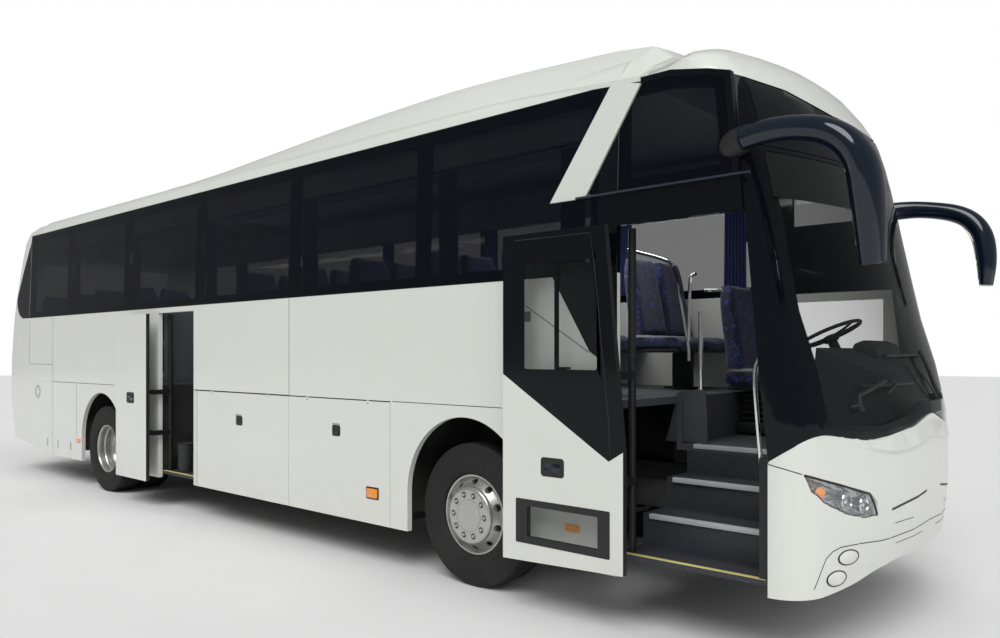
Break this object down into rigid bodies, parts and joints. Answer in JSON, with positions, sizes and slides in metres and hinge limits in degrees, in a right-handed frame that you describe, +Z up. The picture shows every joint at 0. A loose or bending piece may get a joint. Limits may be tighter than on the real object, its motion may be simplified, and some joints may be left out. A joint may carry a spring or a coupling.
{
  "type": "coach bus",
  "caption": "Two-axle touring coach with raised saloon, hollow cabin, swing-out passenger doors standing open, luggage flaps, engine lid and turning wheels",
  "frame": {"origin": "on the ground at the middle of the body's length and width", "axes": "+X forward, +Y to the left, +Z up"},
  "size_m": [12.0726, 2.8561, 3.7499],
  "materials": {
    "amber_lens": "amber lens",
    "axle_casting": "painted casting",
    "black_gloss": "black gloss paint",
    "body_paint": "satin gloss off-white paint",
    "chassis_paint": "chassis black",
    "chrome": "polished tube",
    "dash_plastic": "grained plastic",
    "door_glass": "clear pane",
    "door_metal": "grey enamel",
    "door_paint": "off-white painted leaf",
    "fairing_paint": "off-white painted moulding",
    "floor_covering": "covered plywood",
    "lamp_glass": "clear lamp cover",
    "lining": "grey lining",
    "mirror_shell": "dark navy gloss",
    "rim_silver": "silver paint",
    "rubber": "matt rubber",
    "screen_glass": "clear laminated screen",
    "seat_fabric": "dark blue patterned cloth",
    "step_covering": "ribbed dark covering",
    "tail_lens": "red lens",
    "tinted_glass": "dark tinted panes",
    "tyre": "black rubber",
    "underseal": "matt black"
  },
  "bodies": {
    "coach_body": {"side_wall_right": "body_paint", "side_wall_left": "body_paint", "window_frame_right": "black_gloss", "window_frame_left": "black_gloss", "side_glass_right": "tinted_glass", "side_glass_left": "tinted_glass", "roof_shell": "body_paint", "roof_fairing": "fairing_paint", "front_dome": "body_paint", "diagonal_blades": "fairing_paint", "nose_panel": "body_paint", "nose_frame": "black_gloss", "windscreen_lower": "screen_glass", "windscreen_upper": "screen_glass", "rear_wall": "body_paint", "rear_window": "tinted_glass", "saloon_floor": "floor_covering", "entrance_steps": "step_covering", "luggage_bay": "floor_covering", "wheel_housings": "underseal", "chassis_frame": "chassis_paint", "front_axle": "chassis_paint", "rear_axle": "axle_casting", "air_bellows": "rubber", "engine_block": "axle_casting", "dashboard": "dash_plastic", "driver_seat": "seat_fabric", "passenger_seats": "seat_fabric", "overhead_racks": "lining", "grab_rails": "chrome", "mirrors": "mirror_shell", "headlamps": "lamp_glass", "tail_lamps": "tail_lens", "marker_lamps": "amber_lens"},
    "steering_wheel": {"steering_wheel": "dash_plastic"},
    "knuckle_left": {"knuckle_left": "axle_casting"},
    "knuckle_right": {"knuckle_right": "axle_casting"},
    "wheel_front_left": {"tyre_front_left": "tyre", "rim_front_left": "rim_silver"},
    "wheel_front_right": {"tyre_front_right": "tyre", "rim_front_right": "rim_silver"},
    "wheels_rear_left": {"tyres_rear_left": "tyre", "rims_rear_left": "rim_silver"},
    "wheels_rear_right": {"tyres_rear_right": "tyre", "rims_rear_right": "rim_silver"},
    "door_front_arm": {"door_front_arm": "door_metal"},
    "door_front_leaf": {"door_front_leaf": "door_paint", "door_front_glass": "door_glass"},
    "door_middle_arm": {"door_middle_arm": "door_metal"},
    "door_middle_leaf": {"door_middle_leaf": "door_paint"},
    "flap_right_front": {"flap_right_front": "body_paint"},
    "flap_right_rear": {"flap_right_rear": "body_paint"},
    "flap_left_front": {"flap_left_front": "body_paint"},
    "flap_left_middle": {"flap_left_middle": "body_paint"},
    "flap_left_rear": {"flap_left_rear": "body_paint"},
    "engine_lid": {"engine_lid": "body_paint"}
  },
  "joints": [
    {"name": "steer_left", "type": "hinge", "parent": "coach_body", "child": "knuckle_left", "pos_m": [3.3, 0.84, 0.51], "axis": [0, 0, 1], "range_deg": [-42, 42]},
    {"name": "steer_right", "type": "hinge", "parent": "coach_body", "child": "knuckle_right", "pos_m": [3.3, -0.84, 0.51], "axis": [0, 0, 1], "range_deg": [-42.5, 42.5]},
    {"name": "steering_wheel_turn", "type": "hinge", "parent": "coach_body", "child": "steering_wheel", "pos_m": [5.15, 0.6, 1.79], "axis": [-0.4226, 0, 0.9063], "range_deg": [-505, 505]},
    {"name": "spin_front_left", "type": "hinge", "parent": "knuckle_left", "child": "wheel_front_left", "pos_m": [3.3, 1.05, 0.51], "axis": [0, 1, 0], "continuous": true},
    {"name": "spin_rear_left", "type": "hinge", "parent": "coach_body", "child": "wheels_rear_left", "pos_m": [-2.75, 1.0775, 0.51], "axis": [0, 1, 0], "continuous": true},
    {"name": "spin_front_right", "type": "hinge", "parent": "knuckle_right", "child": "wheel_front_right", "pos_m": [3.3, -1.05, 0.51], "axis": [0, 1, 0], "continuous": true},
    {"name": "spin_rear_right", "type": "hinge", "parent": "coach_body", "child": "wheels_rear_right", "pos_m": [-2.75, -1.0775, 0.51], "axis": [0, 1, 0], "continuous": true},
    {"name": "door_front_swing", "type": "hinge", "parent": "coach_body", "child": "door_front_arm", "pos_m": [4.60951, -1.15962, 1.4], "axis": [0, 0, 1], "range_deg": [0, 149]},
    {"name": "door_front_follow", "type": "hinge", "parent": "door_front_arm", "child": "door_front_leaf", "pos_m": [4.242, -1.345, 1.4], "axis": [0, 0, 1], "range_deg": [-149.5, 0]},
    {"name": "door_middle_swing", "type": "hinge", "parent": "coach_body", "child": "door_middle_arm", "pos_m": [-1.24246, -1.16003, 1.2], "axis": [0, 0, 1], "range_deg": [0, 146.31]},
    {"name": "door_middle_follow", "type": "hinge", "parent": "door_middle_arm", "child": "door_middle_leaf", "pos_m": [-1.574, -1.345, 1.2], "axis": [0, 0, 1], "range_deg": [-146.81, 0]},
    {"name": "flap_right_front_swing", "type": "hinge", "parent": "coach_body", "child": "flap_right_front", "pos_m": [1.8385, -1.268, 1.271], "axis": [-1, 0, 0], "range_deg": [0, 90]},
    {"name": "flap_right_rear_swing", "type": "hinge", "parent": "coach_body", "child": "flap_right_rear", "pos_m": [0.336, -1.268, 1.271], "axis": [-1, 0, 0], "range_deg": [0, 90]},
    {"name": "flap_left_front_swing", "type": "hinge", "parent": "coach_body", "child": "flap_left_front", "pos_m": [1.885, 1.268, 1.271], "axis": [1, 0, 0], "range_deg": [0, 90]},
    {"name": "flap_left_middle_swing", "type": "hinge", "parent": "coach_body", "child": "flap_left_middle", "pos_m": [0.625, 1.268, 1.271], "axis": [1, 0, 0], "range_deg": [0, 90]},
    {"name": "flap_left_rear_swing", "type": "hinge", "parent": "coach_body", "child": "flap_left_rear", "pos_m": [-0.635, 1.268, 1.271], "axis": [1, 0, 0], "range_deg": [0, 90]},
    {"name": "engine_lid_swing", "type": "hinge", "parent": "coach_body", "child": "engine_lid", "pos_m": [-5.976, 0, 1.569], "axis": [0, 1, 0], "range_deg": [0, 80]}
  ],
  "couplings": [
    {"joint": "steer_right", "follows": "steer_left", "ratio": 1},
    {"joint": "steering_wheel_turn", "follows": "steer_left", "ratio": 12},
    {"joint": "door_front_follow", "follows": "door_front_swing", "ratio": -1},
    {"joint": "door_middle_follow", "follows": "door_middle_swing", "ratio": -1}
  ]
}
